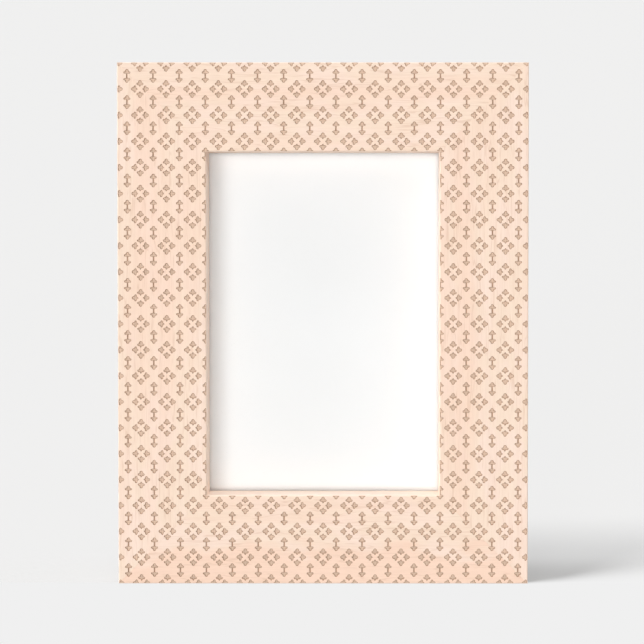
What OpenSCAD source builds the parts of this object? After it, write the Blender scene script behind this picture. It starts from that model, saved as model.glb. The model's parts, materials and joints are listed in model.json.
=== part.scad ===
// Flat maple picture frame with an easel back, for a 4 by 6 inch print.
// It stands at rest, leaning back on its strut. All sizes are in millimetres.
// Frame coordinates: X across, Y from the front face to the back, Z up from the bottom edge.

/* [Sight opening] */
// Width of the picture that shows
sight_w = 98.5; // [70:0.5:200]
// Height of the picture that shows
sight_h = 145.5; // [130:0.5:260]

/* [Moulding] */
// Width of the flat front face
member_w = 37.5; // [30:0.5:60]
// Thickness from the front face to the back
member_t = 19; // [16:0.5:30]
// Thickness of the lip in front of the glass
lip_t = 9.5; // [6:0.5:10]
// Overlap of the lip at the two sides of the sight opening
side_lip = 2.35; // [1.5:0.05:6]
// Overlap of the lip above and below the sight opening
end_lip = 4.25; // [1.5:0.05:6]
// Width of the small bevel that eases the front edges
edge_ease = 0.4; // [0.1:0.1:1.5]

/* [Glass and boards] */
// Gap left round the glass and boards in the rebate
pane_play = 0.8; // [0.3:0.1:1.2]
// Thickness of the glass
glass_t = 2; // [1:0.1:3]
// Thickness of the blank picture sheet
sheet_t = 0.4; // [0.2:0.1:0.8]
// Thickness of the backing board
backing_t = 3; // [2:0.1:3.5]

/* [Stand] */
// Angle that the frame leans back from upright
lean = 12; // [8:0.5:16]
// Angle between the backing board and the open strut
strut_open = 22; // [18:0.5:30]
// Distance from the top edge of the backing board down to the hinge pin
hinge_drop = 36; // [30:0.5:50]
// Thickness of the strut
strut_t = 4; // [3:0.5:6]
// Width of the strut at the hinge pin
strut_top_w = 34; // [32:0.5:44]
// Width of the strut at its foot
strut_foot_w = 46; // [36:0.5:60]
// Length of the strut above the hinge pin, with the bevel that stops it
strut_head = 16; // [15:0.5:24]
// Radius of the strut's top corners
strut_corner_r = 5; // [2:0.5:8]
// Gap between the stop bevel and the backing board
stop_gap = 0.2; // [0.1:0.05:0.4]

/* [Strut hinge] */
// Width of each leaf along the pin
leaf_w = 28; // [24:0.5:32]
// Length of each leaf below the pin
leaf_len = 15; // [12:0.5:20]
// Thickness of the leaf metal
leaf_t = 0.8; // [0.5:0.1:1.2]
// Outside radius of the knuckles
knuckle_r = 2.2; // [1.9:0.1:2.6]
// Width of the middle knuckle
middle_knuckle_w = 12; // [8:0.5:14]
// Gap between neighbouring knuckles
knuckle_gap = 0.3; // [0.2:0.05:0.5]
// Radius of the hinge pin
pin_r = 1; // [0.7:0.1:1.1]
// Gap between the pin and its bore
pin_clear = 0.06; // [0.03:0.01:0.1]
// Distance between the two rivets of a leaf
rivet_spread = 16; // [12:0.5:20]
// Distance from the pin down to the rivets
rivet_drop = 9; // [7:0.5:10]
// Radius of a rivet's shank
rivet_r = 1.2; // [0.8:0.1:1.4]
// Radius of a rivet's head
rivet_head_r = 2.4; // [2:0.1:3]
// Height of a rivet's head
rivet_head_h = 0.7; // [0.4:0.1:1]
// Radius of a rivet's clinched end
clinch_r = 1.8; // [1.6:0.1:2.2]
// Height of a rivet's clinched end
clinch_h = 0.5; // [0.3:0.1:0.6]

/* [Turn buttons] */
// Distance between the two buttons of a stile
button_spread = 96; // [92:0.5:110]
// Distance from the rebate out to a button's screw
button_inset = 8; // [7:0.5:10]
// Length of a button
button_len = 24; // [20:0.5:26]
// Width of a button
button_w = 9.5; // [8:0.5:12]
// Thickness of a button
button_t = 1; // [0.8:0.1:1.5]
// Gap between a button and what is under and over it
button_gap = 0.15; // [0.1:0.05:0.3]
// Radius of a button screw's shank
screw_r = 1.5; // [1.2:0.1:1.8]
// Gap between the shank and the button's hole
button_clear = 0.08; // [0.03:0.01:0.1]
// Length of a button screw in the wood
screw_len = 11; // [8:0.5:13]
// Radius of a button screw's head
screw_head_r = 3; // [2.5:0.1:3.6]
// Height of a button screw's head
screw_head_h = 1.8; // [1.4:0.1:2.4]

/* [Corner nails] */
// Distance from the outer corner, along the mitre, to the outer nail of a corner
corner_nail_inset = 15; // [13:0.5:18]
// Distance between the two nails of a corner
corner_nail_step = 18; // [14:0.5:20]
// Length of each wing of a corner nail
wing_len = 6; // [4:0.5:8]
// Thickness of a corner nail's wing
wing_t = 0.6; // [0.4:0.1:1]
// Depth that a corner nail is driven in
wing_depth = 9; // [6:0.5:12]

/* [Hangers] */
// Length of a sawtooth hanger
hanger_len = 45; // [42:0.5:50]
// Width of a sawtooth hanger
hanger_w = 10; // [8:0.5:12]
// Thickness of the hanger metal
hanger_t = 0.9; // [0.7:0.1:1.2]
// Height of the raised middle above the wood
hanger_rise = 1.6; // [1.2:0.1:2.5]
// Length of the raised middle
hanger_raised_len = 27; // [24:0.5:28]
// Length of the slope at each end of the raised middle
hanger_slope = 2; // [1.5:0.1:3]
// Distance between neighbouring teeth
tooth_pitch = 2; // [1.5:0.1:2.5]
// Depth of a tooth
tooth_depth = 1.3; // [0.8:0.1:1.6]
// Distance between the two nails of a hanger
hanger_nail_spread = 38; // [37:0.5:39]
// Radius of a hanger nail
nail_r = 0.8; // [0.6:0.1:1]
// Length of a hanger nail in the wood
nail_len = 9; // [6:0.5:12]
// Radius of a hanger nail's head
nail_head_r = 1.9; // [1.6:0.1:2.2]
// Height of a hanger nail's head
nail_head_h = 0.8; // [0.5:0.1:1]
// Gap between a driven nail, screw or rivet and its hole
driven_clear = 0.03; // [0.02:0.01:0.05]

/* [Hidden] */
$fn = 48;
// Overshoot of a cutting shape past the face it cuts
cut = 1;

outer_w = sight_w + 2 * member_w;
outer_h = sight_h + 2 * member_w;
middle_z = outer_h / 2;
rebate_w = sight_w + 2 * side_lip;
rebate_h = sight_h + 2 * end_lip;
pane_w = rebate_w - 2 * pane_play;
pane_h = rebate_h - 2 * pane_play;
backing_front = member_t - backing_t;
sheet_front = lip_t + glass_t;
filler_front = sheet_front + sheet_t;
filler_t = backing_front - filler_front;

// The pin lies a hair further from each board than its knuckles reach
pin_off = knuckle_r + pin_clear;
pin_y = member_t + pin_off;
pin_z = middle_z + pane_h / 2 - hinge_drop;
side_knuckle_w = (leaf_w - middle_knuckle_w) / 2 - knuckle_gap;

// The frame stands on its back bottom edge, and the strut's foot is cut level with it
lift = member_t * sin(lean);
strut_tilt = strut_open - lean;
pin_height = lift + pin_z * cos(lean) - pin_y * sin(lean);
pin_back = pin_z * sin(lean) + pin_y * cos(lean);
strut_outer = pin_off + strut_t;
strut_len = (pin_height + strut_outer * sin(strut_tilt)) / cos(strut_tilt);
foot_back = pin_back + strut_outer * cos(strut_tilt) + strut_len * sin(strut_tilt);
front_y = edge_ease * sin(lean);
centre_y = -(front_y + foot_back) / 2;

button_x = rebate_w / 2 + button_inset;
button_reach = button_len - button_w / 2;
stile_hanger_x = (rebate_w / 2 + outer_w / 2) / 2;
rail_hanger_z = outer_h - (member_w - end_lip) / 2;
floor_size = 3 * outer_h;

maple = [0.91, 0.8, 0.69];
hardboard = [0.45, 0.31, 0.2];
grey_card = [0.72, 0.68, 0.6];
zinc = [0.74, 0.75, 0.76];
brassed = [0.78, 0.66, 0.4];

// Stands the frame's own coordinates up on the table, leaning back
module leaned() {
    translate([0, centre_y, lift]) rotate([-lean, 0, 0]) children();
}

// Turns a piece to point out of the frame's back face, at x and z
module on_back(x, z, turn = 0) {
    translate([x, member_t, z]) rotate([-90, 0, 0]) rotate([0, 0, turn]) children();
}

// Places the strut's coordinates on the hinge pin, opened to the stop
module on_strut() {
    translate([0, pin_y, pin_z]) rotate([strut_open, 0, 0]) children();
}

module corner_nail() {
    linear_extrude(wing_depth)
        polygon([[0, 0], [wing_len, 0], [wing_len, wing_t],
            [wing_t, wing_t], [wing_t, wing_len], [0, wing_len]]);
}

module all_corner_nails() {
    for (side = [-1, 1], end = [-1, 1], along = [0, 1]) {
        inset = (corner_nail_inset + along * corner_nail_step) / sqrt(2);
        turn = end > 0 ? (side > 0 ? 270 : 180) : (side > 0 ? 0 : 90);
        translate([side * (outer_w / 2 - inset), member_t - wing_depth, middle_z + end * (middle_z - inset)])
            rotate([-90, 0, 0]) rotate([0, 0, turn]) corner_nail();
    }
}

// Positions of the turn buttons' screws on the back face
module at_button_screws() {
    for (side = [-1, 1], end = [-1, 1])
        on_back(side * button_x, middle_z + end * button_spread / 2) children();
}

module at_hanger_nails() {
    for (end = [-1, 1]) {
        on_back(end * hanger_nail_spread / 2, rail_hanger_z) children();
        on_back(stile_hanger_x, middle_z + end * hanger_nail_spread / 2) children();
    }
}

module rebate() {
    translate([-rebate_w / 2, lip_t, middle_z - rebate_h / 2])
        cube([rebate_w, member_t - lip_t + cut, rebate_h]);
}

module hole(radius, depth) {
    translate([0, 0, -depth]) cylinder(r = radius + driven_clear, h = depth + cut);
}

// One mitred member, lying along X with its outer edge at Z = 0
module member(length) {
    intersection() {
        rotate([90, 0, 90]) linear_extrude(length, center = true)
            polygon([[edge_ease, 0], [member_t, 0], [member_t, member_w],
                [edge_ease, member_w], [0, member_w - edge_ease], [0, edge_ease]]);
        translate([0, member_t + cut, 0]) rotate([90, 0, 0]) linear_extrude(member_t + 2 * cut)
            polygon([[-length / 2 - cut, -cut], [length / 2 + cut, -cut],
                [length / 2 - member_w - cut, member_w + cut],
                [-length / 2 + member_w + cut, member_w + cut]]);
    }
}

// A member turned to its side of the frame, with what is cut from its back
module frame_side(turn, length, across) {
    difference() {
        translate([0, 0, middle_z]) rotate([0, turn, 0]) translate([0, 0, -across / 2]) member(length);
        rebate();
        all_corner_nails();
        at_button_screws() hole(screw_r, screw_len);
        at_hanger_nails() hole(nail_r, nail_len);
    }
}

// A low round head that stands on Z = 0
module dome(radius, height) {
    ball = (radius * radius + height * height) / (2 * height);
    intersection() {
        translate([0, 0, height - ball]) sphere(r = ball);
        cylinder(r = radius + cut, h = height + cut);
    }
}

module top_rail() color(maple) leaned() frame_side(180, outer_w, outer_h);
module bottom_rail() color(maple) leaned() frame_side(0, outer_w, outer_h);
module left_stile() color(maple) leaned() frame_side(90, outer_h, outer_w);
module right_stile() color(maple) leaned() frame_side(270, outer_h, outer_w);

module corner_v_nails() color(zinc) leaned() all_corner_nails();

module pane(front, thickness) {
    translate([-pane_w / 2, front, middle_z - pane_h / 2]) cube([pane_w, thickness, pane_h]);
}

module glazing() color([0.85, 0.93, 0.92], 0.4) leaned() pane(lip_t, glass_t);
module picture_sheet() color([0.97, 0.97, 0.96]) leaned() pane(sheet_front, sheet_t);
module filler_board() color(grey_card) leaned() pane(filler_front, filler_t);

module backing_board() color(hardboard) leaned() difference() {
    pane(backing_front, backing_t);
    backing_rivet_spots() {
        hole(rivet_r, backing_t + cut);
        translate([0, 0, -backing_t - cut]) cylinder(r = clinch_r + driven_clear, h = clinch_h + cut);
    }
}

module backing_rivet_spots() {
    for (side = [-1, 1]) on_back(side * rivet_spread / 2, pin_z - rivet_drop) children();
}

// Outline of the strut's right half, with a round top corner, from the top down past the floor
function strut_edge() = concat(
    [for (turn = [90 : -15 : 0]) [strut_top_w / 2 - strut_corner_r * (1 - cos(turn)),
        strut_head - strut_corner_r * (1 - sin(turn))]],
    [[strut_top_w / 2, 0], [strut_foot_w / 2, -strut_len], [strut_foot_w / 2, -strut_len - strut_t]]);

module strut_outline() {
    edge = strut_edge();
    last = len(edge) - 1;
    polygon(concat(edge, [for (i = [0 : last]) [-edge[last - i].x, edge[last - i].y]]));
}

module easel_strut() color(hardboard) difference() {
    leaned() difference() {
        on_strut() difference() {
            translate([0, strut_outer, 0]) rotate([90, 0, 0]) linear_extrude(strut_t) strut_outline();
            strut_rivet_spots() hole(rivet_r, strut_t + cut);
        }
        translate([-strut_foot_w, member_t + stop_gap - strut_head, pin_z])
            cube([2 * strut_foot_w, strut_head, 2 * strut_head]);
    }
    translate([-floor_size / 2, -floor_size / 2, -floor_size]) cube(floor_size);
}

// Rivet positions on the strut's outer face, pointing out of it
module strut_rivet_spots() {
    for (side = [-1, 1])
        translate([side * rivet_spread / 2, strut_outer, -rivet_drop]) rotate([-90, 0, 0]) children();
}

module knuckle(width) {
    translate([-width / 2, 0, 0]) rotate([0, 90, 0]) cylinder(r = knuckle_r, h = width);
}

module pin_bore() {
    translate([-leaf_w, 0, 0]) rotate([0, 90, 0]) cylinder(r = pin_r + pin_clear, h = 2 * leaf_w);
}

// The leaf lies flat on its board, on the side away from the pin's far side
module leaf_plate() {
    translate([-leaf_w / 2, -pin_off, -leaf_len]) cube([leaf_w, leaf_t, leaf_len]);
}

module hinge_leaf_backing() color(brassed) leaned() difference() {
    translate([0, pin_y, pin_z]) difference() {
        union() {
            leaf_plate();
            for (side = [-1, 1]) translate([side * (leaf_w - side_knuckle_w) / 2, 0, 0]) knuckle(side_knuckle_w);
        }
        translate([-middle_knuckle_w / 2 - knuckle_gap, -pin_off - cut, -knuckle_r - knuckle_gap])
            cube([middle_knuckle_w + 2 * knuckle_gap, 2 * pin_off, 2 * pin_off + cut]);
        pin_bore();
    }
    backing_rivet_spots() translate([0, 0, -cut]) cylinder(r = rivet_r + driven_clear, h = 2 * cut + leaf_t);
}

module hinge_leaf_strut() color(brassed) leaned() on_strut() difference() {
    union() {
        mirror([0, 1, 0]) leaf_plate();
        knuckle(middle_knuckle_w);
    }
    for (side = [-1, 1]) translate([side * (middle_knuckle_w + leaf_w) / 2, 0, 0])
        translate([-leaf_w / 2, -pin_off, -knuckle_r - knuckle_gap])
            cube([leaf_w, 2 * pin_off + cut, 2 * pin_off + cut]);
    pin_bore();
    strut_rivet_spots() hole(rivet_r, strut_t + leaf_t + cut);
}

module hinge_pin() color(zinc) leaned() translate([-leaf_w / 2, pin_y, pin_z])
    rotate([0, 90, 0]) cylinder(r = pin_r, h = leaf_w);

module hinge_rivets_backing() color(brassed) leaned() backing_rivet_spots() {
    translate([0, 0, leaf_t]) dome(rivet_head_r, rivet_head_h);
    translate([0, 0, -backing_t]) cylinder(r = rivet_r, h = backing_t + leaf_t);
    translate([0, 0, -backing_t]) cylinder(r = clinch_r, h = clinch_h - driven_clear);
}

module hinge_rivets_strut() color(brassed) leaned() on_strut() strut_rivet_spots() {
    dome(rivet_head_r, rivet_head_h);
    translate([0, 0, -strut_t - leaf_t]) cylinder(r = rivet_r, h = strut_t + leaf_t);
    translate([0, 0, -strut_t - leaf_t - clinch_h]) cylinder(r = clinch_r, h = clinch_h);
}

// One turn button on its screw, with its long end pointing in over the backing
module turn_button(side, end) color(zinc) leaned()
    on_back(side * button_x, middle_z + end * button_spread / 2, side > 0 ? 180 : 0)
    translate([0, 0, button_gap]) difference() {
        union() {
            cylinder(r = button_w / 2, h = button_t);
            translate([0, -button_w / 2, 0]) cube([button_reach - button_w / 2, button_w, button_t]);
            translate([button_reach - button_w / 2, 0, 0]) cylinder(r = button_w / 2, h = button_t);
        }
        translate([0, 0, -cut]) cylinder(r = screw_r + button_clear, h = button_t + 2 * cut);
    }

module button_screw() {
    seat = 2 * button_gap + button_t;
    difference() {
        translate([0, 0, seat]) dome(screw_head_r, screw_head_h);
        for (turn = [0, 90]) rotate([0, 0, turn])
            translate([-screw_r, -leaf_t / 2, seat + screw_head_h / 2]) cube([2 * screw_r, leaf_t, screw_head_h]);
    }
    translate([0, 0, -screw_len]) cylinder(r = screw_r, h = screw_len + seat);
}

module turn_button_screws() color(zinc) leaned() at_button_screws() button_screw();

module sawtooth_hanger() {
    teeth = floor(hanger_raised_len / tooth_pitch) - 1;
    first = -teeth * tooth_pitch / 2;
    low_x = hanger_raised_len / 2;
    foot_x = low_x + hanger_slope;
    difference() {
        intersection() {
            rotate([90, 0, 0]) linear_extrude(hanger_w, center = true)
                polygon([[-hanger_len / 2, 0], [-foot_x, 0], [-low_x, hanger_rise], [low_x, hanger_rise],
                    [foot_x, 0], [hanger_len / 2, 0], [hanger_len / 2, hanger_t],
                    [foot_x + hanger_t / 2, hanger_t], [low_x + hanger_t / 2, hanger_rise + hanger_t],
                    [-low_x - hanger_t / 2, hanger_rise + hanger_t], [-foot_x - hanger_t / 2, hanger_t],
                    [-hanger_len / 2, hanger_t]]);
            linear_extrude(hanger_rise + 2 * hanger_t)
                polygon(concat([[hanger_len / 2, hanger_w / 2], [hanger_len / 2, -hanger_w / 2],
                        [-hanger_len / 2, -hanger_w / 2], [-hanger_len / 2, hanger_w / 2]],
                    [for (i = [0 : 2 * teeth]) [first + i * tooth_pitch / 2,
                        hanger_w / 2 - (i % 2) * tooth_depth]]));
        }
        for (end = [-1, 1]) translate([end * hanger_nail_spread / 2, 0, -cut])
            cylinder(r = nail_r + driven_clear, h = hanger_t + 2 * cut);
    }
}

module sawtooth_hanger_top() color(zinc) leaned() on_back(0, rail_hanger_z) sawtooth_hanger();
module sawtooth_hanger_side() color(zinc) leaned() on_back(stile_hanger_x, middle_z, 90) sawtooth_hanger();

module hanger_nails() color(zinc) leaned() at_hanger_nails() {
    translate([0, 0, hanger_t]) dome(nail_head_r, nail_head_h);
    translate([0, 0, -nail_len]) cylinder(r = nail_r, h = nail_len + hanger_t);
}

top_rail();
bottom_rail();
left_stile();
right_stile();
corner_v_nails();
glazing();
picture_sheet();
filler_board();
backing_board();
easel_strut();
hinge_leaf_backing();
hinge_leaf_strut();
hinge_pin();
hinge_rivets_backing();
hinge_rivets_strut();
turn_button(-1, -1);  // turn_button_left_lower
turn_button(-1, 1);  // turn_button_left_upper
turn_button(1, -1);  // turn_button_right_lower
turn_button(1, 1);  // turn_button_right_upper
turn_button_screws();
sawtooth_hanger_top();
sawtooth_hanger_side();
hanger_nails();
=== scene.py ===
"""Engraved maple picture frame with an easel back, dressed for a pale studio table."""

import json
import math

import bmesh
import bpy
from bpy.props import FloatProperty, FloatVectorProperty, PointerProperty
from mathutils import Matrix, Vector

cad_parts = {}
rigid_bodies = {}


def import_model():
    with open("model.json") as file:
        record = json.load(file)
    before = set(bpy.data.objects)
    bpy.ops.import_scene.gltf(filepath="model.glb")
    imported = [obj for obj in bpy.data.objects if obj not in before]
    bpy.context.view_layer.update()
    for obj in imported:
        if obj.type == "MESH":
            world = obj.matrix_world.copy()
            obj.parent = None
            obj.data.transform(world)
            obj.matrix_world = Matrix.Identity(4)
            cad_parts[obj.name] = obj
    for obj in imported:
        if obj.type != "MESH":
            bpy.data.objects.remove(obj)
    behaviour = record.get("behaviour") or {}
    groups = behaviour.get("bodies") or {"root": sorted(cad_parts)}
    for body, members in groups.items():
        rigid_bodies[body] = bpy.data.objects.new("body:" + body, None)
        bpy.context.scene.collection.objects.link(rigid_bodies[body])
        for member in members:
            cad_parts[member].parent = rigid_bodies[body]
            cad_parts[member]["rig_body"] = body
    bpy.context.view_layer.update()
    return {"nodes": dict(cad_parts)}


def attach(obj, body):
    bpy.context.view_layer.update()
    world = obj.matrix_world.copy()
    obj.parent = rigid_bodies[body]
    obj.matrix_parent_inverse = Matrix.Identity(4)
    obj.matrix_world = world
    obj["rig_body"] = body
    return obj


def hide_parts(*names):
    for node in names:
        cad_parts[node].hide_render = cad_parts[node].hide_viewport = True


bl_info = {
    "name": "Engraved Picture Frame",
    "version": (1, 0, 0),
    "blender": (4, 5, 0),
    "location": "3D View > Sidebar > Picture Frame",
    "description": "Carved maple picture frame with glass, easel back and wall hangers",
    "category": "Add Mesh",
}

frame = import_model()

MM = 0.001
MEMBERS = ("top_rail", "bottom_rail", "left_stile", "right_stile")
ACROSS = Vector((1, 0, 0))

# How near corners have to be to be joined, to lie in a face, and to lie on a cut
JOIN_WITHIN = 0.004 * MM
LEVEL_WITHIN = 0.01 * MM
CUT_WITHIN = 0.001 * MM


def frame_coordinates():
    """Matrix from the frame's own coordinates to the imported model's, in metres.

    Its own run X across, Y from the front face to the back and Z up from the bottom edge.
    """
    glass = frame["nodes"]["glazing"].data
    back = max(glass.polygons, key=lambda face: face.area).normal.copy()
    if back.y < 0:
        back.negate()
    up = ACROSS.cross(back)
    corners = [v.co for name in MEMBERS for v in frame["nodes"][name].data.vertices]
    front = min(back.dot(c) for c in corners)
    bottom = min(up.dot(c) for c in corners)
    axes = Matrix((ACROSS, back, up)).transposed().to_4x4()
    return Matrix.Translation(front * back + bottom * up) @ axes


LEANING = frame_coordinates()
UPRIGHT = LEANING.inverted()


def own_box(*nodes):
    """Lowest and highest corner of CAD nodes in the frame's own coordinates, in metres."""
    found = [UPRIGHT @ v.co for name in nodes for v in frame["nodes"][name].data.vertices]
    low = Vector(min(c[i] for c in found) for i in range(3))
    high = Vector(max(c[i] for c in found) for i in range(3))
    return low, high


OUTER_LOW, OUTER_HIGH = own_box(*MEMBERS)
OUTER_W = OUTER_HIGH.x - OUTER_LOW.x
OUTER_H = OUTER_HIGH.z - OUTER_LOW.z
MIDDLE = Vector((0, 0, (OUTER_LOW.z + OUTER_HIGH.z) / 2))
FACE_MIDDLE = MIDDLE + Vector((0, OUTER_LOW.y, 0))


def painted(red, green, blue):
    """Linear colour from the 0 to 255 values of a colour picker."""
    tone = [value / 255 for value in (red, green, blue)]
    return tuple(t / 12.92 if t <= 0.04045 else ((t + 0.055) / 1.055) ** 2.4 for t in tone)


def scaled(tone, amount):
    """A colour made darker or lighter, no further than white."""
    return tuple(min(1.0, amount * c) for c in tone)


def length(name, description, default, low, high):
    """A length property in metres, from sizes in millimetres."""
    return FloatProperty(
        name=name,
        description=description,
        default=default * MM,
        min=low * MM,
        max=high * MM,
        unit="LENGTH",
        precision=5,
    )


def share(name, description, default, high=1.0):
    """A plain number from 0 up."""
    return FloatProperty(
        name=name, description=description, default=default, min=0.0, max=high, subtype="FACTOR"
    )


def colour(name, description, default):
    """A colour property, from the values of a colour picker."""
    return FloatVectorProperty(
        name=name,
        description=description,
        default=painted(*default),
        min=0.0,
        max=1.0,
        size=3,
        subtype="COLOR",
    )


class FrameCarving(bpy.types.PropertyGroup):
    """Sizes of the carved pattern on the front face."""

    pitch: length("Pitch", "From the middle of one rosette to the next", 11.0, 6.0, 30.0)
    depth: length("Depth", "How deep the pattern is cut", 0.3, 0.1, 1.0)
    draft: length("Slope", "Width of the sloping wall round each cut", 0.26, 0.05, 0.4)
    mitre_line: length("Mitre line", "Width of the bevel on each side of a mitre", 0.05, 0.0, 0.3)


class FrameFinish(bpy.types.PropertyGroup):
    """Colours of the wood, boards and metal."""

    maple: colour("Maple", "Pale wood of the four members", (248, 225, 205))
    maple_streak: colour("Maple streak", "Darker grain lines of the wood", (222, 186, 160))
    maple_warm: colour("Warm maple", "Peach tone of the warmer zones", (249, 217, 196))
    maple_pale: colour("Pale maple", "Pinkish pale patches of the wood", (250, 226, 210))
    # The edge tone is paler partly as bare wood and partly as painted light on the opening's walls
    maple_edge_painted_light: colour("Maple edge", "Bare wood of the edges", (249, 230, 214))
    cut_floor: colour("Cut floor", "Flat bottom of the carving", (230, 201, 178))
    cut_wall: colour("Cut wall", "Scorched slope round the carving", (168, 132, 106))
    paper: colour("Sheet", "Blank picture sheet", (252, 252, 252))
    card: colour("Filler card", "Grey filler board", (176, 168, 152))
    hardboard: colour("Hardboard", "Backing board and strut", (122, 84, 54))
    hardboard_dark: colour("Hardboard fibre", "Dark fibres of the hardboard", (72, 46, 28))
    zinc: colour("Zinc", "Plated buttons, screws, nails and hangers", (204, 206, 210))
    brass: colour("Brassed steel", "Leaves and rivets of the strut hinge", (214, 176, 104))


class FrameStudio(bpy.types.PropertyGroup):
    """Camera and light."""

    distance: length("Distance", "From the camera to the front face", 496, 200, 2000)
    camera_right: length("Camera right", "How far right of the frame's middle", 20.7, -200, 200)
    camera_up: length("Camera up", "How far above the frame's middle", 37.2, -200, 200)
    frame_right: length("Frame right", "Frame's middle from the picture's middle", 0.4, -50, 50)
    frame_down: length("Frame down", "Frame's middle below the picture's middle", 0.88, -50, 50)
    pixels_per_mm: FloatProperty(
        name="Scale", description="Pixels for a millimetre of the frame's face", default=2.3705
    )
    key: share("Key", "Large soft light from the front left", 0.54, 4.0)
    fill: share("Fill", "Light from straight ahead", 0.28, 4.0)
    left: share("Left", "Light that grazes the face from the left", 0.44, 4.0)
    top: share("Top", "Light that grazes the face from above", 0.42, 4.0)
    right: share("Right", "Light that grazes the face from the right", 0.16, 4.0)
    rear: share("Rear", "Soft light on the back", 0.6, 4.0)
    ambient: share("Ambient", "Even light from all round", 0.11, 4.0)
    bounce: share("Bounce", "Light that the table throws up, as a share of its own tone", 0.5)
    shadow: share("Shadow", "How dark the frame's shadow lies on the table", 0.35)
    contact: share("Contact", "How dark the table is close to the frame", 0.06)
    backdrop: colour("Backdrop", "Tone of the table and the room behind", (240, 240, 240))


def settings(name):
    """The scene's values in one of the three groups."""
    return getattr(bpy.context.scene, name)


def node(tree, kind, inputs=None, **options):
    """Adds a node. Each input is a value or the output of another node. Colours are opaque."""
    made = tree.nodes.new(kind)
    for name, value in options.items():
        setattr(made, name, value)
    for key, source in (inputs or {}).items():
        socket = made.inputs[key]
        if isinstance(source, bpy.types.NodeSocket):
            tree.links.new(source, socket)
        else:
            socket.default_value = (*source[:3], 1.0) if socket.type == "RGBA" else source
    return made


def math_node(tree, operation, first, second=0.0, clamp=False):
    """Output of a Math node."""
    inputs = {0: first, 1: second}
    return node(tree, "ShaderNodeMath", inputs, operation=operation, use_clamp=clamp).outputs[0]


def times(tree, first, second):
    """Two values multiplied."""
    return math_node(tree, "MULTIPLY", first, second)


def plus(tree, first, second):
    """Two values added."""
    return math_node(tree, "ADD", first, second)


def minus(tree, first, second):
    """The first value less the second."""
    return math_node(tree, "SUBTRACT", first, second)


def vector_node(tree, operation, first, second=(0.0, 0.0, 0.0)):
    """Output of a Vector Math node."""
    inputs = {0: first, 1: second}
    return node(tree, "ShaderNodeVectorMath", inputs, operation=operation).outputs[0]


def agreement(tree, first, second):
    """1 where two directions are the same, 0 where they are square to each other."""
    inputs = {0: first, 1: second}
    return node(tree, "ShaderNodeVectorMath", inputs, operation="DOT_PRODUCT").outputs["Value"]


def separated(tree, vector):
    """The X, Y and Z outputs of a vector."""
    return node(tree, "ShaderNodeSeparateXYZ", {0: vector}).outputs


def remap(tree, value, low, high, to_low=0.0, to_high=1.0):
    """A value carried smoothly from one range to another, kept inside it."""
    inputs = {0: value, "From Min": low, "From Max": high, "To Min": to_low, "To Max": to_high}
    made = node(tree, "ShaderNodeMapRange", inputs, interpolation_type="SMOOTHSTEP")
    return made.outputs["Result"]


def blend_colours(tree, amount, first, second):
    """The first colour, and the second where the amount is 1."""
    inputs = {0: amount, 6: first, 7: second}
    return node(tree, "ShaderNodeMix", inputs, data_type="RGBA").outputs[2]


def noise(tree, vector, scale=1.0, detail=2.0, roughness=0.5):
    """Smooth noise from 0 to 1. The scale is how often it repeats in a metre."""
    inputs = {"Vector": vector, "Scale": scale, "Detail": detail, "Roughness": roughness}
    return node(tree, "ShaderNodeTexNoise", inputs).outputs["Fac"]


def drawn_noise(tree, vector, along, across, detail=2.0, roughness=0.5):
    """Noise drawn out along X, from its scales along and across."""
    stretched = vector_node(tree, "MULTIPLY", vector, (along, across, across))
    return noise(tree, stretched, 1.0, detail, roughness)


def new_group(name, family, inputs, outputs):
    """An empty node group. Returns it with what it is given and what it gives.

    Each socket has a label, a kind and sometimes a default.
    """
    group = bpy.data.node_groups.new(name, family + "NodeTree")
    for direction, sockets in (("INPUT", inputs), ("OUTPUT", outputs)):
        for label, kind, *default in sockets:
            kind = "NodeSocket" + kind
            socket = group.interface.new_socket(label, in_out=direction, socket_type=kind)
            if default:
                socket.default_value = default[0]
    given = group.nodes.new("NodeGroupInput").outputs
    return group, given, group.nodes.new("NodeGroupOutput").inputs


def use_group(tree, name, inputs):
    """Places a shader group in a material, and builds it the first time. Returns its outputs."""
    group = bpy.data.node_groups.get(name) or GROUP_MAKERS[name]()
    return node(tree, "ShaderNodeGroup", inputs, node_tree=group).outputs


def surface(tree, tone, roughness, normal, specular=0.5, metallic=0.0):
    """Output of a Principled BSDF."""
    inputs = {
        "Base Color": tone,
        "Roughness": roughness,
        "Metallic": metallic,
        "Specular IOR Level": specular,
        "Normal": normal,
    }
    return node(tree, "ShaderNodeBsdfPrincipled", inputs).outputs[0]


def bump(tree, height, distance):
    """Normal of a surface that is raised by a height of 0 to 1, times distance in metres."""
    inputs = {"Height": height, "Distance": distance, "Strength": 1.0}
    return node(tree, "ShaderNodeBump", inputs).outputs[0]


def place_on_piece(tree):
    """Object coordinates, turned upright and centred on the frame's middle."""
    inputs = {
        "Vector": node(tree, "ShaderNodeTexCoord").outputs["Object"],
        "Location": LEANING @ MIDDLE,
        "Rotation": LEANING.to_euler("XYZ"),
    }
    return node(tree, "ShaderNodeMapping", inputs, vector_type="TEXTURE").outputs[0]


def facing(tree):
    """The way that a surface looks."""
    return node(tree, "ShaderNodeNewGeometry").outputs["Normal"]


def edge_wear_group():
    """Mask of the rubbed edges of a piece, broken up by noise."""
    group, given, result = new_group(
        "Edge Wear",
        "Shader",
        [("Radius", "Float", 0.4 * MM), ("Amount", "Float", 0.5), ("Vector", "Vector")],
        [("Mask", "Float")],
    )
    rounded = node(group, "ShaderNodeBevel", {"Radius": given["Radius"]}, samples=4).outputs[0]
    edge = remap(group, agreement(group, rounded, facing(group)), 0.99, 0.85)
    patches = remap(group, noise(group, given["Vector"], 900.0, 3.0), 0.35, 0.65)
    mask = times(group, times(group, edge, patches), given["Amount"])
    group.links.new(mask, result["Mask"])
    return group


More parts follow.
